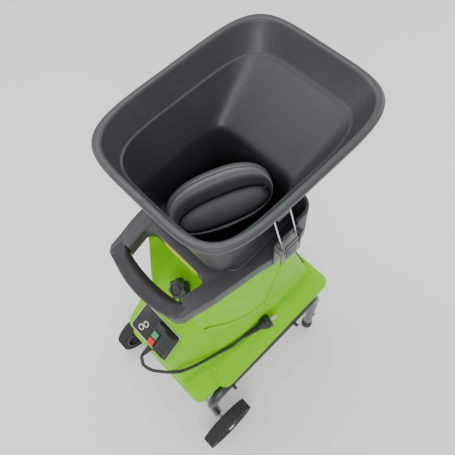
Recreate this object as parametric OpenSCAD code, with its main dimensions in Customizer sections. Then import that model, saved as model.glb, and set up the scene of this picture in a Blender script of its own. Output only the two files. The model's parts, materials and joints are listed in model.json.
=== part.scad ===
// Electric roller wood chipper: hopper and pusher over a hooded tower on a wheeled tube frame.
// Millimetres. +X is the machine's right, +Y its back, +Z up. The origin lies on the floor,
// under the middle of the machine. The operator stands at the front, at the handle.

/* [Frame] */
// Outside diameter of the frame tube
tube_d = 25; // [20:1:30]
// Wall of the frame tube
tube_wall = 1.5; // [1:0.5:2.5]
// Distance from the middle plane to each side tube's axis
frame_x = 144; // [130:1:160]
// Height of the side rails' axis
rail_z = 270; // [230:1:320]
// Place of the front legs and the wheel axle along Y
front_leg_y = -192; // [-220:1:-160]
// Place of the rear legs along Y
rear_leg_y = 193; // [160:1:220]
// Radius of the tube bends, on the axis
bend_r = 40; // [32:1:60]

/* [Wheels] */
// Tyre diameter
wheel_d = 150; // [120:1:170]
// Tyre width
tyre_w = 33; // [20:1:40]
// Distance from the middle plane to the middle of each wheel
wheel_x = 188.5; // [178:1:200]
// Axle diameter
axle_d = 12; // [8:1:14]

/* [Housing] */
// Wall of the moulded housing
wall = 3.5; // [2.5:0.5:5]
// Half width of the hood's edge
hood_x = 152; // [146:1:165]
// Height of the tower's top, under the cover
tower_top_z = 740; // [700:1:790]
// Half width of the control console
console_x = 66; // [62:1:72]
// Slope of the console face, degrees from level
console_slope = 37; // [32:1:42]

/* [Cover and handle] */
// Depth of the cover's plate
cover_h = 30; // [24:1:40]
// Height of the collar above the cover's plate
collar_h = 60; // [40:1:70]
// Half length of the hand opening in the handle
grip_gap_x = 72; // [60:1:76]

/* [Hopper] */
// Height of the rim
rim_z = 985; // [930:5:1050]
// Half width of the rim along X
rim_x = 148; // [130:1:190]
// Half length of the rim along Y
rim_y = 188; // [170:1:220]
// Depth of the upright band below the rim
band_h = 46; // [30:1:60]
// Wall of the hopper
hopper_wall = 4; // [3:0.5:6]
// Half width of the throat along X
throat_x = 86; // [80:1:90]
// Half length of the throat along Y
throat_y = 74; // [62:1:76]

/* [Cutting unit] */
// Radius over the drum's teeth
drum_r = 45; // [38:1:48]
// Length of the drum
drum_w = 76; // [60:1:80]
// Number of teeth on the drum
drum_teeth = 8; // [6:1:10]
// Gap between drum and pressure plate when screwed right in
plate_gap = 1.5; // [1:0.5:3]
// Travel of the pressure plate
plate_travel = 8; // [4:1:10]
// Diameter of the adjusting screw
screw_d = 10; // [8:1:12]

/* [Gears] */
// Module of the slow gear pair
slow_module = 2.5; // [2:0.25:2.5]
// Module of the fast gear pair
fast_module = 1.5; // [1.25:0.25:1.5]
// Width of each gear
gear_w = 12; // [8:1:14]

/* [Pusher] */
// Length of the pusher's oval handle
pusher_len = 184; // [176:1:192]
// Width of the pusher's oval handle
pusher_wid = 100; // [90:1:106]
// Sideways lean of the pusher, degrees
pusher_lean = 25; // [15:1:27]

/* [Mains lead] */
// Diameter of the mains lead
cord_d = 7.5; // [6:0.5:8]

/* [Hidden] */

$fn = 48;
run_gap = 0.05;                       // radial clearance of a running fit
free_gap = 0.6;                       // clearance around parts that move past each other
tube_r = tube_d / 2;
wheel_r = wheel_d / 2;
axle_r = axle_d / 2;
axle_z = wheel_r;

// colours
green = [0.56, 0.80, 0.13];
dark = [0.20, 0.20, 0.22];
steel = [0.70, 0.71, 0.73];
black = [0.09, 0.09, 0.10];

// ---------- outlines and lofts ----------

// Superellipse ring of half sizes a and b about (0, cy), at height z.
ring_n = 64;
function spow(v, p) = sign(v) * pow(abs(v), p);
function oval(a, b, cy, z, n = 4.8, cnt = ring_n) =
    [for (i = [0:cnt - 1]) let (t = 360 * (i + 0.5) / cnt)
        [a * spow(cos(t), 2 / n), cy + b * spow(sin(t), 2 / n), z]];

// Rounded trapezoid ring: half width fx at the front edge fy, half width rx at the rear edge ry.
corner_n = 6;
function corner(cx, cy, r, from, z) =
    [for (i = [0:corner_n]) let (t = from + 90 * i / corner_n) [cx + r * cos(t), cy + r * sin(t), z]];
function block(fx, fy, rx, ry, r, z) = concat(
    corner(fx - r, fy + r, r, -90, z), corner(rx - r, ry - r, r, 0, z),
    corner(r - rx, ry - r, r, 90, z), corner(r - fx, fy + r, r, 180, z));

// The same with each side bent outwards at (mx, my).
function bowed(fx, fy, mx, my, rx, ry, r, z) = concat(
    corner(fx - r, fy + r, r, -90, z), [[mx, my, z]], corner(rx - r, ry - r, r, 0, z),
    corner(r - rx, ry - r, r, 90, z), [[-mx, my, z]], corner(r - fx, fy + r, r, 180, z));

// Solid skin over rings of equal point counts, counter-clockwise, lowest ring first.
module loft(rings) {
    m = len(rings[0]);
    k = len(rings);
    polyhedron(
        points = [for (r = rings) each r],
        faces = concat(
            [[for (i = [0:m - 1]) i]],
            [for (j = [0:k - 2], i = [0:m - 1]) let (n = (i + 1) % m)
                each [[j * m + i, (j + 1) * m + i, (j + 1) * m + n],
                    [j * m + i, (j + 1) * m + n, j * m + n]]],
            [[for (i = [0:m - 1]) k * m - 1 - i]]),
        convexity = 8);
}

// Closed tube wall: rings run up the outside and down the inside, and the last joins the first.
module loft_wall(rings) {
    m = len(rings[0]);
    k = len(rings);
    polyhedron(
        points = [for (r = rings) each r],
        faces = [for (j = [0:k - 1], i = [0:m - 1]) let (n = (i + 1) % m, u = (j + 1) % k)
            each [[j * m + i, u * m + i, u * m + n], [j * m + i, u * m + n, j * m + n]]],
        convexity = 8);
}

module rod_x(r, x0, x1) {
    translate([x0, 0, 0]) rotate([0, 90, 0]) cylinder(r = r, h = x1 - x0);
}

module box(x0, x1, y0, y1, z0, z1) {
    translate([x0, y0, z0]) cube([x1 - x0, y1 - y0, z1 - z0]);
}

module both_sides() {
    children();
    mirror([1, 0, 0]) children();
}

// ---------- frame ----------

module tube_bend(r_out) {
    rotate_extrude(angle = 90) translate([bend_r, 0]) circle(r = r_out);
}

// Side tube: down the front leg, along under the hood's edge and down the rear leg.
leg_end_z = 6;
module side_tube() {
    module run(r, tail) {
        translate([0, front_leg_y, axle_z - 25 - tail])
            cylinder(r = r, h = rail_z - bend_r - axle_z + 25 + tail);
        translate([0, rear_leg_y, leg_end_z - tail]) cylinder(r = r, h = rail_z - bend_r - leg_end_z + tail);
        translate([0, front_leg_y + bend_r, rail_z]) rotate([-90, 0, 0])
            cylinder(r = r, h = rear_leg_y - front_leg_y - 2 * bend_r);
        translate([0, front_leg_y + bend_r, rail_z - bend_r]) rotate([90, 0, 90]) rotate(90) tube_bend(r);
        translate([0, rear_leg_y - bend_r, rail_z - bend_r]) rotate([90, 0, 90]) tube_bend(r);
    }
    difference() {
        run(tube_r, 0);
        run(tube_r - tube_wall, 1);
        translate([0, front_leg_y, axle_z]) rod_x(axle_r, -tube_d, tube_d);
        for (y = frame_bolt_y) translate([0, y, rail_z]) cylinder(r = bolt_r, h = tube_d);
        translate([0, rear_leg_y, cross_z]) rod_x(bolt_r, -tube_d, tube_d);
    }
}

bolt_r = 3;
cross_z = 120;
frame_bolt_y = [-110, 150];

module frame_right() {
    color(black) translate([frame_x, 0, 0]) side_tube();
}

module frame_left() {
    color(black) translate([-frame_x, 0, 0]) side_tube();
}

// Cross tube between the rear legs, held by a bolt through each leg.
module rear_cross_tube() {
    reach = frame_x - tube_r;
    color(black) translate([0, rear_leg_y, cross_z]) difference() {
        rod_x(tube_r * 0.8, -reach + 0.2, reach - 0.2);
        rod_x(tube_r * 0.8 - tube_wall, -reach + 12, reach - 12);
        both_sides() rod_x(bolt_r, reach - 14, reach + 1);
        both_sides() translate([frame_x, 0, -tube_d]) cylinder(r = tube_r + 0.05, h = 2 * tube_d);
    }
}

axle_end_x = wheel_x + tyre_w / 2 - 2;
module wheel_axle() {
    color(steel) translate([0, front_leg_y, axle_z]) rod_x(axle_r - 0.02, -axle_end_x, axle_end_x);
}

foot_r = tube_r + 4;
module foot_caps() {
    color(black) both_sides() translate([frame_x, rear_leg_y, 0]) difference() {
        union() {
            cylinder(r = foot_r, h = 8);
            translate([0, 0, 8]) cylinder(r1 = foot_r, r2 = tube_r + 2, h = 20);
        }
        translate([0, 0, leg_end_z]) cylinder(r = tube_r, h = 40);
    }
}

// Bent strip hooks that hold a collecting bag on the rails.
hook_y = [-126, 97];
module bag_hooks() {
    hook_w = 8;
    color(black) both_sides() for (y = hook_y) translate([frame_x + tube_r, y - hook_w / 2, rail_z]) {
        difference() {
            box(-3, 2, 0, hook_w, -8, 8);
            translate([-tube_r, -1, 0]) rotate([-90, 0, 0]) cylinder(r = tube_r, h = hook_w + 2);
        }
        box(2, 9, 0, hook_w, -2, 2);
        box(7, 10, 0, hook_w, -2, 9);
    }
}

// Bolts that hold the housing on the rails, and the cross tube between the legs.
module frame_bolts() {
    color(steel) both_sides() {
        for (y = frame_bolt_y) translate([frame_x, y, 0]) {
            translate([0, 0, rail_z + 4]) cylinder(r = bolt_r, h = hood_low_z + wall - rail_z - 4);
            translate([0, 0, hood_low_z + wall]) cylinder(r = 4, h = 4);
        }
        translate([0, rear_leg_y, cross_z]) {
            rod_x(bolt_r, frame_x - tube_r - 12, frame_x + tube_r);
            rod_x(5.5, frame_x + tube_r, frame_x + tube_r + 4);
        }
    }
}

// ---------- wheels ----------

bush_l = 22;
hub_r = 16;
tread_n = 36;

module tyre() {
    groove = 3;
    half = tyre_w / 2;
    rim_fit_r = wheel_r - 13;
    color(black) rotate([0, 90, 0]) difference() {
        rotate_extrude($fn = 96) polygon([
            [rim_fit_r, -half + 3], [wheel_r - 5, -half], [wheel_r - 1, -half + 3],
            [wheel_r, 0], [wheel_r - 1, half - 3], [wheel_r - 5, half], [rim_fit_r, half - 3]]);
        for (i = [0:tread_n - 1], s = [-1, 1]) rotate(360 * (i + (s + 1) / 4) / tread_n)
            translate([wheel_r - 2, -groove / 2, s * tyre_w / 4 - tyre_w / 5])
                cube([4, groove, 0.4 * tyre_w]);
    }
}

// Spoked plastic wheel, which turns on the axle.
module wheel_disc() {
    rim_fit_r = wheel_r - 13;
    color(dark) rotate([0, 90, 0]) difference() {
        union() {
            difference() {
                cylinder(r = rim_fit_r, h = tyre_w - 6, center = true, $fn = 96);
                cylinder(r = rim_fit_r - 5, h = tyre_w, center = true, $fn = 96);
            }
            cylinder(r = rim_fit_r - 4, h = 4, center = true);
            cylinder(r = hub_r, h = bush_l, center = true);
            for (i = [0:5]) rotate(60 * i) translate([hub_r - 2, -2.5, -8]) cube([rim_fit_r - hub_r, 5, 16]);
        }
        cylinder(r = axle_r + run_gap - 0.02, h = tyre_w, center = true);
    }
}

module at_wheel(s) {
    translate([s * wheel_x, front_leg_y, axle_z]) children();
}

module tyre_right() { at_wheel(1) tyre(); }
module wheel_right() { at_wheel(1) wheel_disc(); }
module tyre_left() { at_wheel(-1) tyre(); }
module wheel_left() { at_wheel(-1) wheel_disc(); }

// Push-on caps on the axle ends.
module axle_caps() {
    color(steel) both_sides() translate([0, front_leg_y, axle_z]) difference() {
        rod_x(10, wheel_x + bush_l / 2 + free_gap, axle_end_x + 2);
        rod_x(axle_r - 0.02, 0, axle_end_x);
    }
}

// ---------- housing ----------

hood_low_z = rail_z + tube_r + 0.5;
hood_rear_y = 240;
step_y = -152;
nose_y = -219;
nose_x = 138;
console_y = -213;
console_low_z = 509;                        // height of the console face at its front edge
recess_y = -62;                             // wall of the recess behind the adjusting knob
function face_z(y) = console_low_z + (y - console_y) * tan(console_slope);
tower_low_z = 336;

// Outer form of the housing, taken in by o on every side.
module housing_form(o) {
    // hood over the frame, with its sloping ledge
    loft([
        block(hood_x - o, step_y + o, hood_x - 4 - o, hood_rear_y - o, 24, hood_low_z - (o > 0 ? 1 : 0)),
        block(hood_x - o, step_y + o, hood_x - 4 - o, hood_rear_y - o, 24, hood_low_z + 13 - o),
        block(hood_x - 5 - o, step_y + 2 + o, hood_x - 9 - o, hood_rear_y - 5 - o, 22, hood_low_z + 19 - o),
        block(110 - o, -140 + o, 112 - o, 222 - o, 22, tower_low_z - o)
    ]);
    // lower front corners, between the tube bends
    loft([
        block(nose_x - 8 - o, nose_y + o, nose_x - o, step_y + 60, 20, hood_low_z - 14 - (o > 0 ? 1 : 0)),
        block(nose_x - 8 - o, nose_y + o, nose_x - o, step_y + 60, 20, hood_low_z + 4 - o),
        block(nose_x - 14 - o, nose_y + 4 + o, nose_x - 6 - o, step_y + 60, 18, hood_low_z + 9 - o),
        block(78 - o, console_y + o, 104 - o, step_y + 60, 12, tower_low_z - 14 - o)
    ]);
    // tower, cut level at its top
    difference() {
        loft([
            bowed(74 - o, -150 + o, 98 - o, -20, 101 - o, 219 - o, 20, tower_low_z - 30),
            bowed(76 - o, -140 + o, 101 - o, -21, 104 - o, 180.2 - o, 22, 430),
            bowed(80 - o, -123 + o, 107 - o, -31, 110 - o, 124 - o, 24, 610),
            bowed(77.4 - o, -89 + o, 112 - o, -45.4, 117.8 - o, 123 - o, 24, tower_top_z + 40)
        ]);
        box(-160, 160, -200, 260, tower_top_z - o, tower_top_z + 60);
    }
    // console, cut off by its sloping face
    difference() {
        loft([
            block(76 - o, console_y + o, 84 - o, -40, 12, hood_low_z - (o > 0 ? 1 : 0)),
            block(console_x + 2 - o, console_y + o, 80 - o, -40, 12, 430),
            block(console_x - o, console_y + o, 76 - o, -40, 12, 640)
        ]);
        console_cut(-o / cos(console_slope));
    }
}

// Everything above the console's sloping face, lifted by dz.
module console_cut(dz) {
    y0 = console_y - 30;
    y1 = 0;
    rotate([90, 0, 90]) translate([0, 0, -120]) linear_extrude(240)
        polygon([[y0, face_z(y0) + dz], [y1, face_z(y1) + dz], [y1, 900], [y0, 900]]);
}

// Recess in the tower's front, over the upper part of the console face.
recess_x = 62;
module recess_cut(o) {
    intersection() {
        box(-recess_x - o, recess_x + o, console_y - 30, recess_y + o, console_low_z, tower_top_z + 10);
        console_cut(-o / cos(console_slope));
    }
}

// Slanted strengthening ribs on each flank of the tower.
rib_r = 11;
rib_h = 3;
rib_line = [[-118, 560], [40, 455], [90, 700]];
module flank_ribs() {
    intersection() {
        housing_form(-rib_h);
        both_sides() {
            for (p = rib_line) translate([0, p[0], p[1]]) rod_x(rib_r + 0.4, 80, 125);
            for (i = [0:1]) let (a = rib_line[i], d = rib_line[i + 1] - a)
                translate([80, a[0], a[1]]) rotate([atan2(d[1], d[0]), 0, 0]) translate([0, 0, -rib_r])
                    cube([45, norm(d), 2 * rib_r]);
        }
    }
}

// Raised oval at the rear corner of each ledge.
module ledge_oval() {
    both_sides() translate([108, 0, tower_low_z - 16]) {
        for (y = [128, 192]) translate([0, y, 0]) cylinder(r = 14, h = 22);
        box(-14, 14, 128, 192, 0, 22);
    }
}

// Inner pads that the frame bolts hold down.
module housing_pads() {
    intersection() {
        housing_form(1);
        both_sides() for (y = frame_bolt_y)
            box(frame_x - 12, hood_x, y - 12, y + 12, hood_low_z, hood_low_z + wall);
    }
}

cover_screw_x = 102;
cover_screw_y = [-28, 96];
screw_hole_r = 9;
module housing() {
    color(green) difference() {
        union() {
            difference() {
                union() {
                    housing_form(0);
                    flank_ribs();
                }
                recess_cut(0);
                difference() {
                    housing_form(wall);
                    recess_cut(wall);
                }
            }
            ledge_oval();
            housing_pads();
        }
        at_screw() translate([0, 0, console_dist - 30]) cylinder(r = screw_hole_r, h = 60);
        both_sides() {
            for (y = frame_bolt_y) translate([frame_x, y, hood_low_z - 1])
                cylinder(r = bolt_r, h = wall + 1.5);
            for (y = frame_bolt_y) translate([frame_x, y, hood_low_z + wall - 0.1])
                cylinder(r = 4.3, h = 8);
            for (y = cover_screw_y) translate([cover_screw_x, y, tower_top_z - wall - 1])
                cylinder(r = 2.2, h = 10);
        }
        both_sides() translate([frame_x, front_leg_y, rail_z]) rotate([-90, 0, 0])
            cylinder(r = tube_r + 0.3, h = rear_leg_y - front_leg_y);
        on_console() switch_cut(-20, 20);
        // top opening for the feed funnel
        box(-throat_x - 8, throat_x + 8, neck_y - throat_y - 8, neck_y + throat_y + 3,
            tower_top_z - 10, tower_top_z + 1);
        box(-rear_open_x, rear_open_x, 150, 260, rear_open_z0, rear_open_z1);
        translate([exit_x, console_y - 20, exit_z]) rotate([-90, 0, 0]) cylinder(r = gland_r, h = 40);
    }
}

// Vented panel that closes the back of the tower, behind the motor.
rear_open_x = 70;
rear_open_z0 = 350;
rear_open_z1 = 520;
rear_fall = 95 / 304;                        // how far the rear wall leans in as it rises
function rear_y(z) = 219 - rear_fall * (z - tower_low_z + 30);
module rear_panel() {
    margin = 7;
    lean = atan(rear_fall);
    mid_z = (rear_open_z0 + rear_open_z1) / 2;
    half_h = (rear_open_z1 - rear_open_z0) / 2 + margin;
    color(dark) translate([0, rear_y(mid_z) + 3.5, mid_z]) rotate([lean, 0, 0]) difference() {
        box(-rear_open_x - margin, rear_open_x + margin, 0, 3, -half_h, half_h);
        for (i = [0:6], x = [-33, 33]) box(x - 26, x + 26, -1, 4, -54 + 17 * i, -48 + 17 * i);
        for (x = [-1, 1], z = [-1, 1]) translate([x * rear_open_x, -1, z * (half_h - margin)])
            rotate([-90, 0, 0]) cylinder(r = 2.2, h = 5);
    }
}

// ---------- cover with carrying handle ----------

cover_top_z = tower_top_z + cover_h;
grip_y0 = -176;                              // foremost edge of the grip bar
gap_y0 = -138;                               // front edge of the hand opening
gap_y1 = -79;                                // rear edge of the hand opening
neck_y = 42;                                 // middle of the throat along Y
neck_x = throat_x + hopper_wall + 6;
neck_half_y = throat_y + hopper_wall + 3;

module cover_outline() {
    // bowed front bar, arms that widen to the back, round rear corners
    bow = [for (i = [-6:6]) [84 * i / 6, grip_y0 + 16 * pow(abs(i) / 6, 2)]];
    rear = [for (t = [0:15:90]) [96 + 29 * cos(t), 97 + 29 * sin(t)]];
    side = [[92, -150], [96, -128], [104, -95], [112, -40], [119, 5], [124, latch_y - 30], [124, 84]];
    half = concat(side, rear);
    polygon(concat(bow, half, [for (i = [len(half) - 1:-1:0]) [-half[i][0], half[i][1]]]));
}

module hand_opening() {
    r = 14;
    bow = [for (i = [-6:6]) [(grip_gap_x - 8) * i / 6, gap_y0 - 3 + 7 * pow(i / 6, 2)]];
    corners = concat(
        [for (t = [0:15:90]) [grip_gap_x - r + r * cos(t), gap_y1 - r + r * sin(t)]],
        [for (t = [90:15:180]) [r - grip_gap_x + r * cos(t), gap_y1 - r + r * sin(t)]]);
    polygon(concat(bow, corners));
}

module collar_outline(o) {
    x = 125 - o;
    rear = 126 - o;
    r = 30 - o;
    polygon(concat([[-x, collar_y0], [x, collar_y0]],
        [for (t = [0:15:90]) [x - r + r * cos(t), rear - r + r * sin(t)]],
        [for (t = [90:15:180]) [r - x + r * cos(t), rear - r + r * sin(t)]]));
}

module neck_cut(gap, z0, z1) {
    loft([for (z = [z0, z1]) oval(neck_x + gap, neck_half_y + gap, neck_y, z, 9)]);
}

cover_skin = 4;
latch_y = 54;                                // middle of each latch along Y
collar_y0 = latch_y + 28;
collar_wall = 5.4;
module top_cover() {
    color(dark) difference() {
        union() {
            translate([0, 0, tower_top_z + 0.2]) linear_extrude(cover_h - 0.2) cover_outline();
            translate([0, 0, cover_top_z - 1]) linear_extrude(collar_h + 1) collar_outline(0);
        }
        translate([0, 0, tower_top_z - 1]) linear_extrude(cover_h + 2) hand_opening();
        // hollow underside behind the hand opening
        box(-92, 92, gap_y1 + 10, neck_y - neck_half_y - 8, tower_top_z - 1, cover_top_z - cover_skin);
        // open collar round the hopper's neck
        translate([0, 0, cover_top_z]) linear_extrude(collar_h + 2) collar_outline(collar_wall);
        neck_cut(0.5, tower_top_z - 1, cover_top_z + 1);
        for (y = cover_screw_y) both_sides() translate([cover_screw_x, y, tower_top_z - 1])
            cylinder(r = 2.2, h = 16);
    }
}

// Screws driven up through the housing's pads into the cover.
module cover_screws() {
    color(steel) both_sides() for (y = cover_screw_y) translate([cover_screw_x, y, 0]) {
        translate([0, 0, tower_top_z - wall]) cylinder(r = 2.2, h = wall + 15);
        translate([0, 0, tower_top_z - wall - 3]) cylinder(r = 4.2, h = 3);
    }
}

// Blank coloured strip on the wall of the hand opening.
module warning_strip() {
    color([0.85, 0.80, 0.12]) box(-34, 50, gap_y1 - 0.8, gap_y1 - 0.05, tower_top_z + 4, cover_top_z - 7);
}

// ---------- hopper ----------

rim_cy = 79;
crease_z = rim_z - band_h;
crease_x = rim_x - 31;
crease_y = rim_y - 32;
crease_cy = 72;
throat_y1 = neck_y + throat_y;               // rear wall of the throat, straight up to the funnel
funnel_z = 862;
funnel_y0 = -76;                             // front wall where the funnel starts
shoulder_z = 794;
shoulder_y0 = -62;                           // front wall just above the cover
function throat_ring(o, a, y0, z, n) =
    oval(a + o, (throat_y1 - y0) / 2 + o, (throat_y1 + y0) / 2, z, n);
neck_low_z = tower_top_z + 8;

lip_w = 9;
lip_h = 11;
flange_cy = 38.1;                            // the seating flange stops short of the collar's rear
flange_half_y = 82.2;
module hopper() {
    w = hopper_wall;
    foot_z = cover_top_z + 0.1;
    color(dark) {
        loft_wall([
            // outside, from the spigot up
            oval(throat_x + w, throat_y + w, neck_y, neck_low_z, 9),
            oval(throat_x + w, throat_y + w, neck_y, foot_z, 9),
            oval(throat_x + w + 10, flange_half_y, flange_cy, foot_z, 9),
            oval(throat_x + w + 10, flange_half_y, flange_cy, foot_z + 5, 9),
            oval(throat_x + w + 2, throat_y + w + 0.15, neck_y, foot_z + 5, 9),
            throat_ring(w, throat_x + 1, shoulder_y0, shoulder_z, 8),
            throat_ring(w, throat_x + 4, funnel_y0, funnel_z, 7),
            oval(crease_x + w, crease_y + w, crease_cy, crease_z),
            oval(rim_x - lip_w + 1, rim_y - lip_w + 1, rim_cy, rim_z - lip_h),
            oval(rim_x - 1, rim_y - 1, rim_cy, rim_z - lip_h),
            oval(rim_x, rim_y, rim_cy, rim_z - lip_h + 3),
            oval(rim_x, rim_y, rim_cy, rim_z - 3),
            // over the lip and down the inside
            oval(rim_x - 3, rim_y - 3, rim_cy, rim_z),
            oval(rim_x - lip_w, rim_y - lip_w, rim_cy, rim_z),
            oval(rim_x - lip_w - w + 1, rim_y - lip_w - w + 1, rim_cy, rim_z - 4),
            oval(crease_x, crease_y, crease_cy, crease_z),
            throat_ring(0, throat_x + 4, funnel_y0, funnel_z, 7),
            throat_ring(0, throat_x + 1, shoulder_y0, shoulder_z, 8),
            oval(throat_x, throat_y, neck_y, foot_z - 2, 9),
            oval(throat_x, throat_y, neck_y, neck_low_z, 9)
        ]);
        both_sides() hopper_lug();
    }
}

// Lug that each latch bail pulls down on.
lug_z = 880;
lug_x0 = 97;
lug_x1 = 116;
module hopper_lug() {
    difference() {
        box(lug_x0, lug_x1, latch_y - 13, latch_y + 13, lug_z - 14, lug_z);
        box(lug_x0 + 4, lug_x1 - 3, latch_y - 20, latch_y + 20, lug_z - 20, lug_z - 4);
    }
}

// ---------- draw latches ----------

lever_x = 134;                               // pivot axis of the lever
lever_z = 812;
bail_drop = 16;                              // bail pivot below the lever pivot when closed
pin_r = 2;
bail_r = 1.5;
bail_half = 17;                              // half the distance between the bail's legs
bail_z = lever_z - bail_drop;
bail_top_z = lug_z + bail_r + 0.3;

ear_y = 26;
lever_half = 24;
bracket_x = 124;
bracket_t = 2.5;
module latch_pin(r, s, y0, y1) {
    translate([lever_x, latch_y + (s > 0 ? y0 : -y1), lever_z]) rotate([-90, 0, 0])
        cylinder(r = r, h = y1 - y0);
}

module latch_bracket() {
    box(bracket_x, bracket_x + bracket_t, latch_y - ear_y - 1.5, latch_y + ear_y + 1.5, 745, 822);
    for (s = [-1, 1]) {
        translate([0, latch_y + s * ear_y, 0])
            box(bracket_x + bracket_t - 0.5, lever_x + 4, -1.5, 1.5, 802, 820);
        latch_pin(pin_r, s, lever_half - 3.5, ear_y);
    }
}

module latch_brackets() {
    color(dark) both_sides() latch_bracket();
}

// Ribbed lever plate with a slot for each leg of the bail.
module latch_lever() {
    plate_x = lever_x + 2.6;
    plate_z = [757, lever_z + 3];
    slot_w = 5;
    difference() {
        union() {
            box(plate_x, plate_x + 2.4, latch_y - lever_half, latch_y + lever_half, plate_z[0], plate_z[1]);
            for (i = [0:4])
                box(plate_x + 2, plate_x + 4, latch_y - 12, latch_y + 12, 768 + 8 * i, 772 + 8 * i);
            for (s = [-1, 1]) translate([0, latch_y + s * (lever_half - 1.5), 0])
                box(lever_x - 4, plate_x + 1, -1.5, 1.5, bail_z - 5, lever_z + 4);
        }
        for (s = [-1, 1]) {
            latch_pin(pin_r + run_gap, s, 0, 40);
            translate([0, latch_y + s * bail_half - slot_w / 2, 0])
                box(lever_x, lever_x + 10, 0, slot_w, bail_z - 4, plate_z[1] + 1);
        }
        translate([lever_x, latch_y - 40, bail_z]) rotate([-90, 0, 0]) cylinder(r = bail_r + run_gap, h = 80);
    }
}

// Wire bail: two upright legs, a bar over the hopper's lug and two feet in the lever.
bail_top_x = 110;
module wire_between(a, b) {
    d = b - a;
    l = norm(d);
    translate(a) rotate([0, acos(d[2] / l), atan2(d[1], d[0])]) cylinder(r = bail_r, h = l);
}

module latch_bail() {
    top = [bail_top_x, 0, bail_top_z];
    knee = [lever_x - 4.5, 0, bail_z + 22];
    foot = [lever_x, 0, bail_z];
    for (s = [-1, 1]) {
        side = [0, latch_y + s * bail_half, 0];
        wire_between(foot + side, knee + side);
        wire_between(knee + side, top + side);
        for (p = [knee, top, foot]) translate(p + side) sphere(r = bail_r + 0.1);
        translate(foot + side) rotate([s * -90, 0, 0]) cylinder(r = bail_r, h = lever_half - bail_half);
    }
    translate([bail_top_x, latch_y - bail_half, bail_top_z]) rotate([-90, 0, 0])
        cylinder(r = bail_r, h = 2 * bail_half);
}

module latch_lever_right() { color(dark) latch_lever(); }
module latch_lever_left() { color(dark) mirror([1, 0, 0]) latch_lever(); }
module latch_bail_right() { color(steel) latch_bail(); }
module latch_bail_left() { color(steel) mirror([1, 0, 0]) latch_bail(); }

// ---------- pusher ----------

pusher_at = [6, 22, 834];
pusher_turn = -21;
pusher_nod = 7;
ring_h = 34;
module at_pusher() {
    translate(pusher_at) rotate([0, 0, pusher_turn]) rotate([pusher_nod, pusher_lean, 0]) children();
}

function pring(a, b, z) = oval(b, a, 0, z, 2.4, 48);
module pusher_handle() {
    a = pusher_len / 2;
    b = pusher_wid / 2;
    color(dark) at_pusher() loft_wall([
        pring(a - 14, b - 12, -ring_h), pring(a - 3, b - 3, -ring_h + 12),
        pring(a, b, -12), pring(a - 3, b - 3, -3),
        pring(a - 10, b - 9, 0), pring(a - 17, b - 15, -5),
        pring(a - 20, b - 20, -22), pring(a - 20, b - 20, -ring_h)
    ]);
}

// Domed grip bar along the middle of the handle.
module pusher_grip() {
    a = pusher_len / 2 - 20;
    color(dark) at_pusher() loft([
        pring(a - 0.3, 17, -ring_h + 2), pring(a - 0.3, 19, -ring_h + 8), pring(a - 6, 17, -ring_h + 14),
        pring(a - 18, 12, -ring_h + 18), pring(a - 34, 5, -ring_h + 20)
    ]);
}

module pusher_stem() {
    a = pusher_len / 2 - 16;
    b = pusher_wid / 2 - 14;
    color(dark) at_pusher() translate([0, 0, -ring_h]) loft([
        pring(46, 14, -78), pring(48, 17, -70), pring(54, 20, -30),
        pring(a - 10, b - 4, -6), pring(a, b, -0.05)
    ]);
}

// ---------- control panel ----------

// Frame of the console face: origin on its front edge, local Y up the slope, local Z out of it.
module on_console() {
    translate([0, console_y, console_low_z]) rotate([console_slope, 0, 0]) children();
}

panel_half = 56;
panel_len = 70;
panel_t = 2;
border_w = 1.6;
switch_x0 = -6;
switch_x1 = 55;
switch_y0 = 5;
switch_y1 = 66;
switch_h = 12;
button_w = 15;
green_at = [8, 35];
red_at = [8, 17];
button_travel = 3;

module panel_shape(o) {
    x = panel_half - o;
    top = panel_len - o;
    polygon([[-x + 4, 3 + o], [x - 4, 3 + o], [x, 8 + o], [x - 3, top], [-x + 3, top], [-x, 8 + o]]);
}

module switch_cut(z0, z1) {
    box(switch_x0 + 3, switch_x1 - 3, switch_y0 + 2, switch_y1 - 2, z0, z1);
}

module control_panel() {
    color(black) on_console() difference() {
        translate([0, 0, 0.05]) linear_extrude(panel_t) panel_shape(border_w + 0.1);
        switch_cut(-1, 10);
    }
}

module panel_border() {
    color([0.72, 0.72, 0.68]) on_console() difference() {
        translate([0, 0, 0.05]) linear_extrude(panel_t + 0.8) panel_shape(0);
        translate([0, 0, -1]) linear_extrude(10) panel_shape(border_w);
    }
}

// Switch block: a raised hood on the right, the two buttons in an open bay on the left.
module button_hole(at) {
    half = button_w / 2 + 0.4;
    translate([at[0], at[1], 0]) box(-half, half, -half, half, 2, 22);
}

switch_hood_x0 = 18;
module switch_box() {
    color(black) on_console() difference() {
        union() {
            box(switch_x0 + 3.5, switch_x1 - 3.5, switch_y0 + 2.5, switch_y1 - 2.5, -28, panel_t + 3);
            box(switch_x0 + 3.5, switch_hood_x0 + 2, green_at[1] + 11, switch_y1 - 3, 0, panel_t + 8);
            hull() {
                box(switch_hood_x0, switch_x1 - 1, switch_y0 + 1, switch_y1 - 1,
                    panel_t + 0.9, panel_t + 1.9);
                box(switch_hood_x0 + 3, switch_x1 - 8, switch_y0 + 6, switch_y1 - 5,
                    panel_t + switch_h, panel_t + switch_h + 1);
            }
        }
        button_hole(green_at);
        button_hole(red_at);
    }
}

module push_button(at) {
    half = button_w / 2;
    on_console() translate([at[0], at[1], 2 + button_travel + 0.5]) box(-half, half, -half, half, 0, 5.5);
}

module start_button() { color([0.10, 0.60, 0.30]) push_button(green_at); }
module stop_button() { color([0.85, 0.12, 0.15]) push_button(red_at); }

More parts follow.
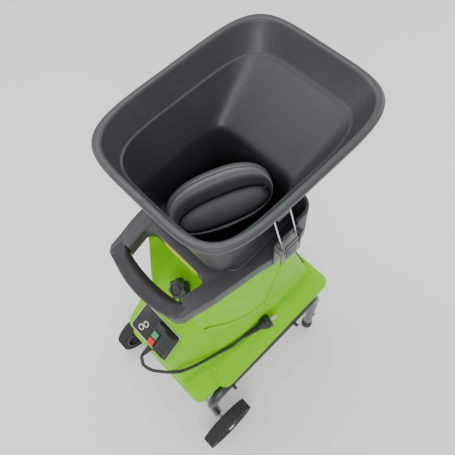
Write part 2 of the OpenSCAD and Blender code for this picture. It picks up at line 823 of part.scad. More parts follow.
// Two plain round marks beside the switch.
module panel_marks() {
    color([0.80, 0.78, 0.68]) on_console() translate([0, 0, panel_t + 0.1]) for (at = [[-32, 19], [-26, 32]])
        translate(at) difference() {
            cylinder(r = 7, h = 0.8);
            translate([0, 0, -1]) cylinder(r = 4.6, h = 3);
        }
}

// ---------- mains lead ----------

exit_x = 3;
exit_z = 486;
gland_r = 8;
// The lead leaves the console's front, drops in a loop round the corner and lies on the ledge.
cord_route = [
    [3, -233, 486], [3, -237, 484], [4.5, -241, 478], [7, -244, 469], [9.5, -246.5, 463], [13.5, -248, 458],
    [22, -246.5, 453], [33.5, -241.5, 448], [45, -232.5, 446], [60.2, -219.4, 445], [73.6, -204.1, 443],
    [79.5, -190, 434], [82, -173.5, 415], [83.5, -151, 390], [84.5, -127, 364], [88, -99.5, 347],
    [95, -74, 342], [98, -60, 344.5], [100.4, -47, 350], [102, -39, 353.4], [103.2, -33.3, 354]
];
plug_at = [113, 11.7, 354];
plug_dir = [0.216, 1, 0];

function catmull(p, i, t) = let (
    n = len(p),
    a = p[max(i - 1, 0)], b = p[i], c = p[i + 1], d = p[min(i + 2, n - 1)])
    0.5 * (2 * b + (c - a) * t + (2 * a - 5 * b + 4 * c - d) * t * t + (3 * b - a - 3 * c + d) * t * t * t);
function sweep_path(p) = concat([for (i = [0:len(p) - 2], t = [0, 0.5]) catmull(p, i, t)], [p[len(p) - 1]]);

module swept_tube(path, r, sides) {
    k = len(path);
    rings = [for (i = [0:k - 1]) let (
        t0 = path[min(i + 1, k - 1)] - path[max(i - 1, 0)],
        t = t0 / norm(t0),
        u0 = cross([0, 0, 1], t),
        u = u0 / norm(u0),
        v = cross(t, u))
        [for (s = [0:sides - 1]) path[i] + r * (cos(360 * s / sides) * u + sin(360 * s / sides) * v)]];
    polyhedron(
        points = [for (g = rings) each g],
        faces = concat(
            [[for (s = [0:sides - 1]) s]],
            [for (j = [0:k - 2], s = [0:sides - 1]) let (n = (s + 1) % sides)
                each [[j * sides + s, (j + 1) * sides + s, (j + 1) * sides + n],
                      [j * sides + s, (j + 1) * sides + n, j * sides + n]]],
            [[for (s = [0:sides - 1]) k * sides - 1 - s]]),
        convexity = 6);
}

module power_cord() {
    color(black) swept_tube(sweep_path(cord_route), cord_d / 2, 8);
}

// Tapered sleeve that carries the lead out of the console.
module cord_gland() {
    color(black) translate([exit_x, 0, exit_z]) rotate([-90, 0, 0]) {
        translate([0, 0, console_y - 2]) cylinder(r = gland_r + 2, h = 2);
        translate([0, 0, console_y]) cylinder(r = gland_r, h = 12);
        translate([0, 0, -232.5]) cylinder(r1 = cord_d / 2 + 0.8, r2 = gland_r - 1, h = console_y + 233);
    }
}

module at_plug() {
    translate(plug_at) rotate([0, 90, atan2(plug_dir[1], plug_dir[0])]) children();
}

module plug_body() {
    color(black) at_plug() difference() {
        union() {
            translate([0, 0, -46]) cylinder(r1 = cord_d / 2 + 0.6, r2 = 8, h = 48);
            translate([0, 0, 2]) cylinder(r1 = 8, r2 = 17, h = 12);
            translate([0, 0, 14]) cylinder(r = 17, h = 14);
        }
        for (s = [-1, 1]) translate([s * 9.5, 0, 20]) cylinder(r = 2.4, h = 20);
    }
}

module plug_pins() {
    color(steel) at_plug() for (s = [-1, 1]) translate([s * 9.5, 0, 20.05]) cylinder(r = 2.4, h = 27);
}

// ---------- cutting unit ----------

drum_at = [0, 40, 440];
chamber_x = 42;
side_t = 10;
chamber_y0 = -16;
chamber_y1 = 94;
chamber_z0 = 386;
chamber_z1 = 496;
shaft_r = 10;
bearing_r = 18;

module at_drum() {
    translate(drum_at) children();
}

module feed_funnel() {
    color(black) difference() {
        funnel_shell();
        at_screw() cylinder(r = nut_r + 2, h = 160);
        at_screw() box(-41, 41, -plate_half - 1, plate_half + 1,
            drum_r + plate_gap - 9, drum_r + plate_gap + plate_t + plate_travel + 1);
    }
}

module funnel_shell() {
    mouth_y = (chamber_y0 + chamber_y1) / 2;
    mouth_half = (chamber_y1 - chamber_y0) / 2 - 5;
    bend_z = 690;
    top_z = tower_top_z - 1;
    loft_wall([
        oval(chamber_x, mouth_half, mouth_y, chamber_z1 + 1, 12),
        oval(throat_x + 5, throat_y - 2, neck_y, bend_z, 9),
        oval(throat_x + 5, throat_y + 2.5, neck_y, top_z, 9),
        oval(throat_x + 1, throat_y - 1.5, neck_y, top_z, 9),
        oval(throat_x + 1, throat_y - 6, neck_y, bend_z, 9),
        oval(chamber_x - 4, mouth_half - 4, mouth_y, chamber_z1 + 1, 12)
    ]);
}

module cutting_chamber() {
    color(steel) difference() {
        box(-chamber_x - side_t, chamber_x + side_t, chamber_y0 - 6, chamber_y1 + 6, chamber_z0, chamber_z1);
        box(-chamber_x, chamber_x, chamber_y0, chamber_y1, chamber_z0 - 1, chamber_z1 + 1);
        at_drum() rod_x(bearing_r, -chamber_x - side_t - 1, chamber_x + side_t + 1);
        at_screw() box(-40.5, 40.5, -chamber_slot, chamber_slot, drum_r, 130);
    }
}

// Bars across the tower that carry the cutting unit.
module unit_rails() {
    reach = hood_x;
    color(steel) intersection() {
        union() {
            box(-reach, reach, chamber_y0 - 20, chamber_y0 - 6.1, chamber_z0, chamber_z0 + 12);
            box(-reach, reach, chamber_y1 + 6.1, chamber_y1 + 20, chamber_z1 - 12, chamber_z1);
        }
        housing_form(wall + 0.05);
    }
}

module discharge_chute() {
    x = chamber_x + 5;
    color(black) loft_wall([
        block(x + 4, -74, x + 4, 98, 6, 292),
        block(x, chamber_y0 - 5, x, chamber_y1 + 3, 6, chamber_z0 - 0.3),
        block(x - 4, chamber_y0 - 1, x - 4, chamber_y1 - 1, 4, chamber_z0 - 0.3), block(x, -70, x, 94, 4, 292)
    ]);
}

module drum_bearings() {
    color(steel) at_drum() for (x = [-chamber_x - side_t, chamber_x]) difference() {
        rod_x(bearing_r, x, x + side_t);
        rod_x(shaft_r + run_gap, x - 1, x + side_t + 1);
    }
}

module cutting_drum() {
    core_r = drum_r - 8;
    color(steel) at_drum() difference() {
        union() {
            rod_x(core_r, -drum_w / 2, drum_w / 2);
            for (i = [0:drum_teeth - 1]) rotate([360 * i / drum_teeth, 0, 0])
                rotate([90, 0, 90]) translate([0, 0, -drum_w / 2]) linear_extrude(drum_w)
                    polygon([[core_r - 2, -5], [drum_r - 0.4, -5], [drum_r - 0.4, -3], [core_r - 2, 6]]);
        }
        rod_x(shaft_r, -drum_w, drum_w);
    }
}

drum_gear_x = 58;
idler_gear_x = drum_gear_x + gear_w + 6;
module drum_shaft() {
    color(steel) at_drum() rod_x(shaft_r, -chamber_x - side_t - 6, drum_gear_x + gear_w + 2);
}

// ---------- gear train ----------

slow_teeth = [14, 42];
fast_teeth = [12, 48];
slow_cd = slow_module * (slow_teeth[0] + slow_teeth[1]) / 2;
fast_cd = fast_module * (fast_teeth[0] + fast_teeth[1]) / 2;
motor_at = [0, 144, 396];

// The idler lies where its distances to the drum and the motor are the two centre distances.
span = norm(motor_at - drum_at);
along = (slow_cd * slow_cd - fast_cd * fast_cd + span * span) / (2 * span);
across = sqrt(slow_cd * slow_cd - along * along);
dir_y = (motor_at[1] - drum_at[1]) / span;
dir_z = (motor_at[2] - drum_at[2]) / span;
idler_at = [0, drum_at[1] + along * dir_y - across * dir_z, drum_at[2] + along * dir_z + across * dir_y];
slow_dir = atan2(idler_at[2] - drum_at[2], idler_at[1] - drum_at[1]);
fast_dir = atan2(motor_at[2] - idler_at[2], motor_at[1] - idler_at[1]);

// Straight-flanked spur gear in the YZ plane; its first tooth points along angle a.
module spur(m, z, a, bore) {
    rp = m * z / 2;
    ra = rp + 0.9 * m;
    rr = rp - 1.25 * m;
    half = 90 / z * 0.86;
    pts = [for (i = [0:z - 1]) let (c = a + 360 * i / z)
        each [[rr, c - half * 1.55], [rp, c - half], [ra, c - half * 0.45],
              [ra, c + half * 0.45], [rp, c + half], [rr, c + half * 1.55]]];
    rotate([90, 0, 90]) linear_extrude(gear_w) difference() {
        polygon([for (p = pts) p[0] * [cos(p[1]), sin(p[1])]]);
        circle(r = bore);
    }
}

module drum_gear() {
    color(steel) translate([drum_gear_x, drum_at[1], drum_at[2]])
        spur(slow_module, slow_teeth[1], slow_dir, shaft_r);
}

idler_r = 7;
motor_shaft_r = 5;
module idler_pinion() {
    color(steel) translate([drum_gear_x, idler_at[1], idler_at[2]])
        spur(slow_module, slow_teeth[0], slow_dir + 180 + 180 / slow_teeth[0], idler_r);
}

module idler_gear() {
    color(steel) translate([idler_gear_x, idler_at[1], idler_at[2]])
        spur(fast_module, fast_teeth[1], fast_dir, idler_r);
}

module motor_pinion() {
    color(steel) translate([idler_gear_x, motor_at[1], motor_at[2]])
        spur(fast_module, fast_teeth[0], fast_dir + 180 + 180 / fast_teeth[0], motor_shaft_r);
}

case_x0 = chamber_x + side_t;
case_x1 = idler_gear_x + gear_w + 2;
module idler_shaft() {
    color(steel) translate([0, idler_at[1], idler_at[2]]) rod_x(idler_r, case_x0 + 0.3, case_x1 + 3);
}

module case_shape(o) {
    hull() {
        translate([drum_at[1], drum_at[2]]) circle(r = 60 - o);
        translate([idler_at[1], idler_at[2]]) circle(r = 44 - o);
        translate([motor_at[1], motor_at[2]]) circle(r = 30 - o);
    }
}

module gearbox_case() {
    color([0.55, 0.56, 0.58]) difference() {
        rotate([90, 0, 90]) translate([0, 0, case_x0]) linear_extrude(case_x1 - case_x0) case_shape(0);
        rotate([90, 0, 90]) translate([0, 0, case_x0 + 3]) linear_extrude(60) case_shape(4);
        at_drum() rod_x(bearing_r, 0, 200);
        translate([0, idler_at[1], idler_at[2]]) rod_x(idler_r + run_gap, 0, 200);
        translate([0, motor_at[1], motor_at[2]]) rod_x(motor_shaft_r + run_gap, 0, 200);
    }
}

module gearbox_cover() {
    color([0.55, 0.56, 0.58]) difference() {
        rotate([90, 0, 90]) translate([0, 0, case_x1]) linear_extrude(3) case_shape(0);
        translate([0, idler_at[1], idler_at[2]]) rod_x(idler_r + run_gap, 0, 200);
    }
}

// ---------- motor ----------

motor_r = 42;
motor_x0 = -92;
motor_x1 = case_x0 - 0.5;
module at_motor() {
    translate([0, motor_at[1], motor_at[2]]) children();
}

module motor_casing() {
    color([0.45, 0.46, 0.48]) at_motor() difference() {
        rod_x(motor_r, motor_x0 + 22.3, motor_x1);
        rod_x(motor_r - 5, motor_x0 + 26, motor_x1 - 5);
        rod_x(motor_shaft_r + run_gap, motor_x0, motor_x1 + 1);
    }
}

module motor_rotor() {
    color(steel) at_motor() {
        rod_x(motor_shaft_r, motor_x0 + 2, case_x1 - 1);
        rod_x(motor_r - 12, motor_x0 + 40, motor_x1 - 24);
    }
}

module motor_fan() {
    color(black) at_motor() difference() {
        union() {
            rod_x(11, motor_x0 + 4, motor_x0 + 16);
            rod_x(motor_r - 6, motor_x0 + 13, motor_x0 + 16);
            for (i = [0:7]) rotate([45 * i, 0, 0]) box(motor_x0 + 4, motor_x0 + 14, 8, motor_r - 8, -1, 1);
        }
        rod_x(motor_shaft_r, motor_x0 - 1, motor_x0 + 20);
    }
}

module start_capacitor() {
    color([0.85, 0.85, 0.85]) translate([-72, 60, 420]) {
        cylinder(r = 17, h = 70);
        translate([0, 0, 70]) cylinder(r = 6, h = 6);
    }
}

// ---------- pressure plate and its adjuster ----------

// Frame of the adjusting screw: origin on the drum's axis, local Z along the screw to the knob.
screw_tilt = console_slope;
module at_screw() {
    at_drum() rotate([screw_tilt, 0, 0]) children();
}

screw_r0 = drum_r + plate_gap + 16 + plate_travel;    // inner end of the screw
console_dist = (face_z(drum_at[1]) - drum_at[2]) * cos(console_slope);
knob_r0 = console_dist + 14;
plate_half = 27;
chamber_slot = plate_half + 1;
plate_t = 16;
nut_r = 11;

module pressure_plate() {
    r0 = drum_r + plate_gap;
    nut_l = plate_travel + 12;
    color(steel) at_screw() difference() {
        union() {
            box(-40, 40, -plate_half, plate_half, r0 - 8, r0 + plate_t);
            translate([0, 0, r0 + plate_t - 1]) cylinder(r = nut_r, h = nut_l);
        }
        rod_x(r0, -60, 60);
        translate([0, 0, r0 + 12]) cylinder(r = screw_d / 2 + run_gap, h = 60);
    }
}

module adjusting_screw() {
    color(steel) at_screw() {
        translate([0, 0, screw_r0]) cylinder(r = screw_d / 2, h = knob_r0 + 12 - screw_r0);
        translate([0, 0, console_dist - 22]) cylinder(r = 8, h = 4);
    }
}

module screw_bush() {
    color([0.80, 0.62, 0.25]) at_screw() translate([0, 0, console_dist - 16]) difference() {
        union() {
            cylinder(r = screw_hole_r, h = 18);
            translate([0, 0, 4]) cylinder(r = 14, h = 16 - 4 - wall - 0.3);
        }
        translate([0, 0, -1]) cylinder(r = screw_d / 2 + run_gap, h = 20);
    }
}

knob_lobes = 7;
knob_r = 22;
knob_h = 24;
module adjusting_knob() {
    color(black) at_screw() translate([0, 0, knob_r0]) difference() {
        union() {
            cylinder(r = 12.5, h = 6);
            translate([0, 0, 5]) cylinder(r = knob_r - 4, h = knob_h - 5);
            for (i = [0:knob_lobes - 1]) rotate(360 * (i + 0.5) / knob_lobes) translate([knob_r - 6, 0, 4])
                cylinder(r = 6, h = knob_h - 7);
        }
        translate([0, 0, knob_h - 2]) difference() {
            cylinder(r = 12, h = 3);
            translate([0, 0, -1]) cylinder(r = 9.5, h = 5);
        }
        translate([0, 0, -1]) cylinder(r = screw_d / 2, h = 13);
    }
}

frame_right();
frame_left();
rear_cross_tube();
wheel_axle();
foot_caps();
bag_hooks();
frame_bolts();
housing();
rear_panel();
top_cover();
warning_strip();
hopper();
cover_screws();
control_panel();
panel_border();
switch_box();
start_button();
stop_button();
panel_marks();
cord_gland();
power_cord();
plug_body();
plug_pins();
latch_brackets();
latch_lever_right();
latch_bail_right();
latch_lever_left();
latch_bail_left();
pusher_handle();
pusher_grip();
pusher_stem();
feed_funnel();
cutting_chamber();
unit_rails();
discharge_chute();
drum_bearings();
cutting_drum();
drum_shaft();
drum_gear();
idler_shaft();
idler_gear();
idler_pinion();
gearbox_case();
gearbox_cover();
motor_casing();
motor_rotor();
motor_pinion();
motor_fan();
start_capacitor();
pressure_plate();
adjusting_screw();
screw_bush();
adjusting_knob();
tyre_right();
wheel_right();
tyre_left();
wheel_left();
axle_caps();
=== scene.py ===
import json
import math

import bmesh
import bpy
from mathutils import Matrix, Vector
from mathutils.kdtree import KDTree

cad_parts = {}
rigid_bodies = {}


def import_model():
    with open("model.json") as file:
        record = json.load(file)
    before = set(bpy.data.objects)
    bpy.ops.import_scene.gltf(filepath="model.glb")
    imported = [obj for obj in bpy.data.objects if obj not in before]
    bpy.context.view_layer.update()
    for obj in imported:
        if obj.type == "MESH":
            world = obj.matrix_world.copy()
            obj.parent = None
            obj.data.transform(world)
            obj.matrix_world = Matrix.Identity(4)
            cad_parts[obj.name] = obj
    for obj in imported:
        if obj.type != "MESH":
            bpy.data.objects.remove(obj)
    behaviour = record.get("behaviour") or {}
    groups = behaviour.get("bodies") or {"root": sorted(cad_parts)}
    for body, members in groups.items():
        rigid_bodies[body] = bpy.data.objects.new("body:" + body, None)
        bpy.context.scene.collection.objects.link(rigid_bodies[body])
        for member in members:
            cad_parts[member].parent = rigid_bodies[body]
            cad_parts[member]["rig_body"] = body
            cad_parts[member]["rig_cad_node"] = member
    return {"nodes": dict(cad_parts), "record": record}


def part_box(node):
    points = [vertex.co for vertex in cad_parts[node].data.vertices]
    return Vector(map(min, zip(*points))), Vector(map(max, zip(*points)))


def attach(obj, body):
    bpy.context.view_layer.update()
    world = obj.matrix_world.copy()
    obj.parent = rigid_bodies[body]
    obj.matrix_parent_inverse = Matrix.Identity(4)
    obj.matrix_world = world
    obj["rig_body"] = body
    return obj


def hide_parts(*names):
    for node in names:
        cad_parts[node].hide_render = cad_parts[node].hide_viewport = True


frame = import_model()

bpy.ops.object.select_all(action="DESELECT")
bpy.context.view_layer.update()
nodes = frame["nodes"]
mm = 0.001
print("frame loaded")

# camera: high over the front right corner, rolled a little
cameraSet = {"azimuth": 51.784, "elevation": 63.367, "roll": -6.718,
             "place": (0.3267, -0.2214, 1.5275), "lens": 38.73, "sensor": 36.0}


def makeCamera(s):
    a, e, r = (math.radians(s[k]) for k in ("azimuth", "elevation", "roll"))
    back = Vector((math.sin(a) * math.cos(e), -math.cos(a) * math.cos(e), math.sin(e)))
    right = (-back).cross(Vector((0, 0, 1))).normalized()
    up = right.cross(-back)
    x = math.cos(r) * right + math.sin(r) * up
    y = -math.sin(r) * right + math.cos(r) * up
    bpy.ops.object.camera_add()
    cam = bpy.context.object
    cam.name = "viewCamera"
    cam.matrix_world = Matrix((
        (x.x, y.x, back.x, s["place"][0]), (x.y, y.y, back.y, s["place"][1]),
        (x.z, y.z, back.z, s["place"][2]), (0, 0, 0, 1)))
    cam.data.lens = s["lens"]
    cam.data.sensor_width = s["sensor"]
    cam.data.clip_start = 0.05
    bpy.context.scene.camera = cam


makeCamera(cameraSet)


# finishes
def newMaterial(name, rough, metal=0.0):
    m = bpy.data.materials.new(name)
    m.use_nodes = True
    shader = m.node_tree.nodes["Principled BSDF"]
    shader.inputs["Roughness"].default_value = rough
    shader.inputs["Metallic"].default_value = metal
    return m, m.node_tree, shader


def addNoise(tree, scale, detail=3.0, stretch=(1, 1, 1)):
    coords = tree.nodes.new("ShaderNodeTexCoord")
    mapping = tree.nodes.new("ShaderNodeMapping")
    mapping.inputs["Scale"].default_value = stretch
    noise = tree.nodes.new("ShaderNodeTexNoise")
    noise.inputs["Scale"].default_value = scale
    noise.inputs["Detail"].default_value = detail
    tree.links.new(coords.outputs["Object"], mapping.inputs["Vector"])
    tree.links.new(mapping.outputs["Vector"], noise.inputs["Vector"])
    return noise


def addRamp(tree, source, stops):
    ramp = tree.nodes.new("ShaderNodeValToRGB")
    ramp.color_ramp.elements[0].position = stops[0][0]
    ramp.color_ramp.elements[0].color = (*stops[0][1], 1)
    ramp.color_ramp.elements[1].position = stops[-1][0]
    ramp.color_ramp.elements[1].color = (*stops[-1][1], 1)
    for place, colour in stops[1:-1]:
        ramp.color_ramp.elements.new(place).color = (*colour, 1)
    tree.links.new(source, ramp.inputs["Fac"])
    return ramp


def addBump(tree, shader, source, height, strength=0.4, below=None):
    bump = tree.nodes.new("ShaderNodeBump")
    bump.inputs["Distance"].default_value = height
    bump.inputs["Strength"].default_value = strength
    tree.links.new(source, bump.inputs["Height"])
    if below:
        tree.links.new(below.outputs["Normal"], bump.inputs["Normal"])
    tree.links.new(bump.outputs["Normal"], shader.inputs["Normal"])
    return bump


def scaled(colour, k):
    return tuple(min(1.0, c * k) for c in colour)


# moulded plastic: cloudy tint, worn patches that shine less, fine spark-eroded grain
def moulded(name, colour, rough, grain=900, height=0.00012, shade=0.12, strength=0.35, shine=0.5):
    m, tree, shader = newMaterial(name, rough)
    shader.inputs["Specular IOR Level"].default_value = shine
    cloud = addNoise(tree, 9, 4)
    tint = addRamp(tree, cloud.outputs["Fac"], [
        (0.25, scaled(colour, 1 - shade)), (0.5, colour), (0.78, scaled(colour, 1 + shade))])
    tree.links.new(tint.outputs["Color"], shader.inputs["Base Color"])
    scuff = addNoise(tree, 60, 6, (1, 1, 0.35))
    wear = addRamp(tree, scuff.outputs["Fac"], [
        (0.3, (rough - 0.06,) * 3), (0.62, (rough + 0.02,) * 3), (0.8, (rough + 0.16,) * 3)])
    tree.links.new(wear.outputs["Color"], shader.inputs["Roughness"])
    addBump(tree, shader, addNoise(tree, grain, 2).outputs["Fac"], height, strength)
    return m


def brushed(name, colour, rough, stretch=(1, 1, 30)):
    m, tree, shader = newMaterial(name, rough, 1.0)
    lines = addNoise(tree, 90, 4, stretch)
    tint = addRamp(tree, lines.outputs["Fac"], [(0.3, scaled(colour, 0.82)), (0.7, colour)])
    tree.links.new(tint.outputs["Color"], shader.inputs["Base Color"])
    wear = addRamp(tree, lines.outputs["Fac"], [(0.3, (rough - 0.05,) * 3), (0.8, (rough + 0.12,) * 3)])
    tree.links.new(wear.outputs["Color"], shader.inputs["Roughness"])
    addBump(tree, shader, lines.outputs["Fac"], 0.00003, 0.2)
    return m


# rolled enamel over tube: orange peel, a little dust
def enamel(name, colour, rough):
    m, tree, shader = newMaterial(name, rough)
    dust = addNoise(tree, 22, 5)
    tint = addRamp(tree, dust.outputs["Fac"], [
        (0.35, colour), (0.6, scaled(colour, 1.3)), (0.85, (0.10, 0.10, 0.095))])
    tree.links.new(tint.outputs["Color"], shader.inputs["Base Color"])
    shader.inputs["Coat Weight"].default_value = 0.35
    shader.inputs["Coat Roughness"].default_value = 0.2
    addBump(tree, shader, addNoise(tree, 420, 2).outputs["Fac"], 0.00008, 0.25)
    return m


finishes = {
    "hopperGrey": moulded("hopperGrey", (0.040, 0.041, 0.045), 0.42, 1100, 0.0001),
    "coverGrey": moulded("coverGrey", (0.042, 0.043, 0.046), 0.48, 800, 0.00018),
    "pusherGrey": moulded("pusherGrey", (0.085, 0.086, 0.092), 0.34, 1100, 0.0001),
    "gripGrey": moulded("gripGrey", (0.055, 0.056, 0.060), 0.62, 420, 0.0005, shade=0.2, strength=0.8),
    "gripBlack": moulded("gripBlack", (0.020, 0.020, 0.022), 0.55, 600, 0.0003, strength=0.6),
    "limeGreen": moulded("limeGreen", (0.20, 0.56, 0.0), 0.46, 700, 0.00012, shade=0.06, shine=0.08),
    "panelBlack": moulded("panelBlack", (0.018, 0.018, 0.020), 0.45, 900),
    "knobBlack": moulded("knobBlack", (0.022, 0.022, 0.024), 0.42, 900),
    "leverBlack": moulded("leverBlack", (0.075, 0.075, 0.080), 0.34, 900),
    "wheelBlack": moulded("wheelBlack", (0.022, 0.022, 0.024), 0.5, 700),
    "paleBorder": moulded("paleBorder", (0.50, 0.50, 0.46), 0.45, 700),
    "stripYellow": moulded("stripYellow", (0.62, 0.52, 0.0), 0.4, 500, shine=0.2),
    "buttonGreen": moulded("buttonGreen", (0.02, 0.34, 0.12), 0.3, 900),
    "buttonRed": moulded("buttonRed", (0.62, 0.02, 0.03), 0.3, 900),
    "markPale": moulded("markPale", (0.66, 0.62, 0.48), 0.45, 700),
    "cordBlack": moulded("cordBlack", (0.020, 0.020, 0.022), 0.48, 500, 0.0002),
    "capacitorWhite": moulded("capacitorWhite", (0.75, 0.75, 0.73), 0.35, 600),
    "frameEnamel": enamel("frameEnamel", (0.018, 0.018, 0.020), 0.34),
    "tyreRubber": moulded("tyreRubber", (0.022, 0.022, 0.022), 0.78, 500, 0.0004, 0.25, 0.7),
    "footRubber": moulded("footRubber", (0.028, 0.028, 0.028), 0.7, 500, 0.0003, 0.2, 0.6),
    "wireSteel": brushed("wireSteel", (0.72, 0.72, 0.74), 0.24),
    "plainSteel": brushed("plainSteel", (0.48, 0.48, 0.50), 0.34),
    "castAlloy": moulded("castAlloy", (0.40, 0.41, 0.42), 0.5, 260, 0.0006, 0.1, 0.8),
    "bushBrass": brushed("bushBrass", (0.72, 0.50, 0.20), 0.3),
}
finishes["castAlloy"].node_tree.nodes["Principled BSDF"].inputs["Metallic"].default_value = 0.9
print("finishes made")

# which finish each carried-over node takes, and the rounding of its edges in millimetres
nodeLooks = {
    "frame_right": ("frameEnamel", 0), "frame_left": ("frameEnamel", 0),
    "rear_cross_tube": ("frameEnamel", 0), "wheel_axle": ("plainSteel", 0.5),
    "foot_caps": ("footRubber", 1.5), "bag_hooks": ("frameEnamel", 0.5), "frame_bolts": ("plainSteel", 0.5),
    "housing": ("limeGreen", 1.6), "rear_panel": ("coverGrey", 0.6), "warning_strip": ("stripYellow", 0),
    "cover_screws": ("plainSteel", 0.4), "control_panel": ("panelBlack", 0.5),
    "panel_border": ("paleBorder", 0.4), "switch_box": ("panelBlack", 1.2),
    "start_button": ("buttonGreen", 0.8), "stop_button": ("buttonRed", 0.8),
    "panel_marks": ("markPale", 0.3), "latch_brackets": ("leverBlack", 0.4),
    "latch_lever_right": ("leverBlack", 0.5), "latch_bail_right": ("wireSteel", 0),
    "latch_lever_left": ("leverBlack", 0.5), "latch_bail_left": ("wireSteel", 0),
    "feed_funnel": ("coverGrey", 0), "cutting_chamber": ("plainSteel", 1.0),
    "unit_rails": ("plainSteel", 0.6), "discharge_chute": ("coverGrey", 0.8),
    "drum_bearings": ("plainSteel", 0.5), "cutting_drum": ("plainSteel", 0.5),
    "drum_shaft": ("plainSteel", 0.4), "drum_gear": ("plainSteel", 0.3), "idler_shaft": ("plainSteel", 0.4),
    "idler_gear": ("plainSteel", 0.3), "idler_pinion": ("plainSteel", 0.3),
    "gearbox_case": ("castAlloy", 1.0), "gearbox_cover": ("castAlloy", 1.0),
    "motor_casing": ("castAlloy", 1.2), "motor_rotor": ("plainSteel", 0.5),
    "motor_pinion": ("plainSteel", 0.2), "motor_fan": ("panelBlack", 0.4),
    "start_capacitor": ("capacitorWhite", 1.5), "pressure_plate": ("plainSteel", 0.6),
    "adjusting_screw": ("plainSteel", 0.4), "screw_bush": ("bushBrass", 0.5),
    "axle_caps": ("wireSteel", 0.6),
}
bodyOf = {n: b for b, members in frame["record"]["behaviour"]["bodies"].items() for n in members}


def paint(obj, finish):
    obj.data.materials.clear()
    obj.data.materials.append(finishes[finish])


def only(obj):
    bpy.ops.object.select_all(action="DESELECT")
    obj.select_set(True)
    bpy.context.view_layer.objects.active = obj


def applyModifiers(obj):
    only(obj)
    for m in list(obj.modifiers):
        bpy.ops.object.modifier_apply(modifier=m.name)


def settle(obj, name, body, finish, stands=(), angle=35):
    only(obj)  # place goes into the mesh, then the finish and the body it rides on
    bpy.ops.object.transform_apply(location=True, rotation=True, scale=True)
    obj.name = name
    if angle:
        bpy.ops.object.shade_smooth_by_angle(angle=math.radians(angle))
    paint(obj, finish)
    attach(obj, body)
    if stands:
        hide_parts(*stands)
    return obj


# carried-over nodes: a merged copy with softened edges stands for each
def softCopy(node, width=0.0, segments=2, angle=32):
    only(nodes[node])
    bpy.ops.object.duplicate()
    obj = bpy.context.object
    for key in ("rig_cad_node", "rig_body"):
        del obj[key]
    obj.parent = None
    bpy.ops.object.mode_set(mode="EDIT")
    bpy.ops.mesh.select_all(action="SELECT")
    bpy.ops.mesh.customdata_custom_splitnormals_clear()
    bpy.ops.mesh.remove_doubles(threshold=0.00002)
    if width:
        bpy.ops.mesh.dissolve_limited(angle_limit=math.radians(0.6))
    bpy.ops.object.mode_set(mode="OBJECT")
    if width:
        edges = obj.modifiers.new("edges", "BEVEL")
        edges.width = width * mm
        edges.segments = segments
        edges.limit_method = "ANGLE"
        edges.angle_limit = math.radians(angle)
        applyModifiers(obj)
    return obj


# a run of rings: a circle is set on the first ring, then extruded from ring to ring
def ringSkin(name, rings, joined=False, caps=(False, False)):
    bpy.ops.object.select_all(action="DESELECT")
    bpy.ops.mesh.primitive_circle_add(vertices=len(rings[0]), radius=1)
    obj = bpy.context.object
    obj.name = name
    bpy.ops.object.mode_set(mode="EDIT")
    bm = bmesh.from_edit_mesh(obj.data)
    for v, p in zip(bm.verts, rings[0]):
        v.co = p
    bmesh.update_edit_mesh(obj.data)
    before = rings[0]
    for ring in rings[1:] + ([rings[0]] if joined else []):
        bpy.ops.mesh.extrude_edges_move()
        bm = bmesh.from_edit_mesh(obj.data)
        tree = KDTree(len(before))
        for i, p in enumerate(before):
            tree.insert(p, i)
        tree.balance()
        for v in bm.verts:
            if v.select:
                v.co = ring[tree.find(v.co)[1]]
        bmesh.update_edit_mesh(obj.data)
        before = ring
    for cap, ring in zip(caps, (rings[0], rings[-1])):
        if cap:
            bpy.ops.mesh.select_all(action="DESELECT")
            bpy.ops.mesh.select_mode(type="VERT")
            bm = bmesh.from_edit_mesh(obj.data)
            bm.verts.ensure_lookup_table()
            n = len(ring)
            for v in (bm.verts[:n] if ring is rings[0] else bm.verts[-n:]):
                v.select = True
            bm.select_flush(True)
            bmesh.update_edit_mesh(obj.data)
            bpy.ops.mesh.edge_face_add()
    bpy.ops.mesh.select_all(action="SELECT")
    bpy.ops.mesh.remove_doubles(threshold=0.000005)
    bpy.ops.mesh.normals_make_consistent(inside=False)
    bpy.ops.object.mode_set(mode="OBJECT")
    return obj


def power(v, p):
    return math.copysign(abs(v) ** p, v)


def oval(a, b, cy, z, n=4.8, count=128):  # superellipse ring, millimetres in, metres out
    ring = []
    for i in range(count):
        t = 2 * math.pi * (i + 0.5) / count
        ring.append(Vector((a * power(math.cos(t), 2 / n), cy + b * power(math.sin(t), 2 / n), z)) * mm)
    return ring


def roundRing(r, h, count=64, lobes=0, depth=0.0, turn=0.0):
    ring = []
    for i in range(count):
        t = 2 * math.pi * i / count
        k = r - depth * (1 - (0.5 + 0.5 * math.cos(lobes * (t - turn))) ** 0.7) if lobes else r
        ring.append(Vector((k * math.cos(t), k * math.sin(t), h)))
    return ring


def placed(rings, matrix):
    return [[matrix @ p * mm for p in ring] for ring in rings]


def turnSkin(name, profile, matrix, count=64):
    rings = [roundRing(r, h, count) for r, h in profile]
    return ringSkin(name, placed(rings, matrix), caps=(True, True))


